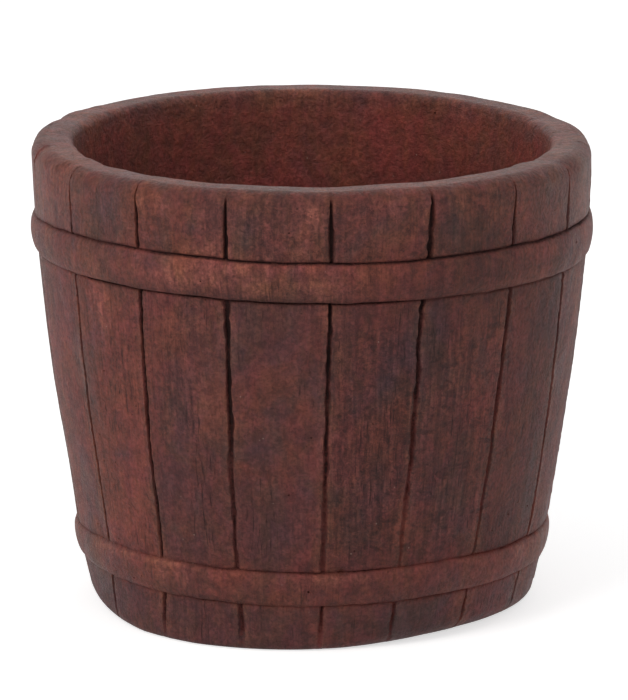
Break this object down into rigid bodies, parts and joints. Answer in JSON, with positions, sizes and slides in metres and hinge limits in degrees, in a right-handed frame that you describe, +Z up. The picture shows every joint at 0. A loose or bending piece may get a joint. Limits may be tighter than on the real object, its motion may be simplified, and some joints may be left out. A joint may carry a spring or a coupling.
{
  "type": "barrel planter",
  "caption": "Heavy round planter cast in stained concrete in the shape of a coopered half barrel, with raised hoops, carved stave joints, a rolled lip and a stoppered drain hole.",
  "frame": {"origin": "centre of the ring that the planter stands on, on the ground", "axes": "+Z up along the planter's axis, -Y towards the picture's camera, +X to the right as seen from there"},
  "size_m": [0.4022, 0.4022, 0.337],
  "materials": {
    "stained_concrete": "reddish brown stain on cast concrete, satin sheen, pitted with small air holes",
    "stopper_rubber": "matte black moulded rubber"
  },
  "bodies": {
    "pot": {"barrel_casting": "stained_concrete"},
    "stopper": {"drain_stopper": "stopper_rubber"}
  },
  "joints": [
    {"name": "stopper_lift", "type": "slide", "parent": "pot", "child": "stopper", "axis": [0, 0, 1], "range_m": [0, 0.36]}
  ]
}
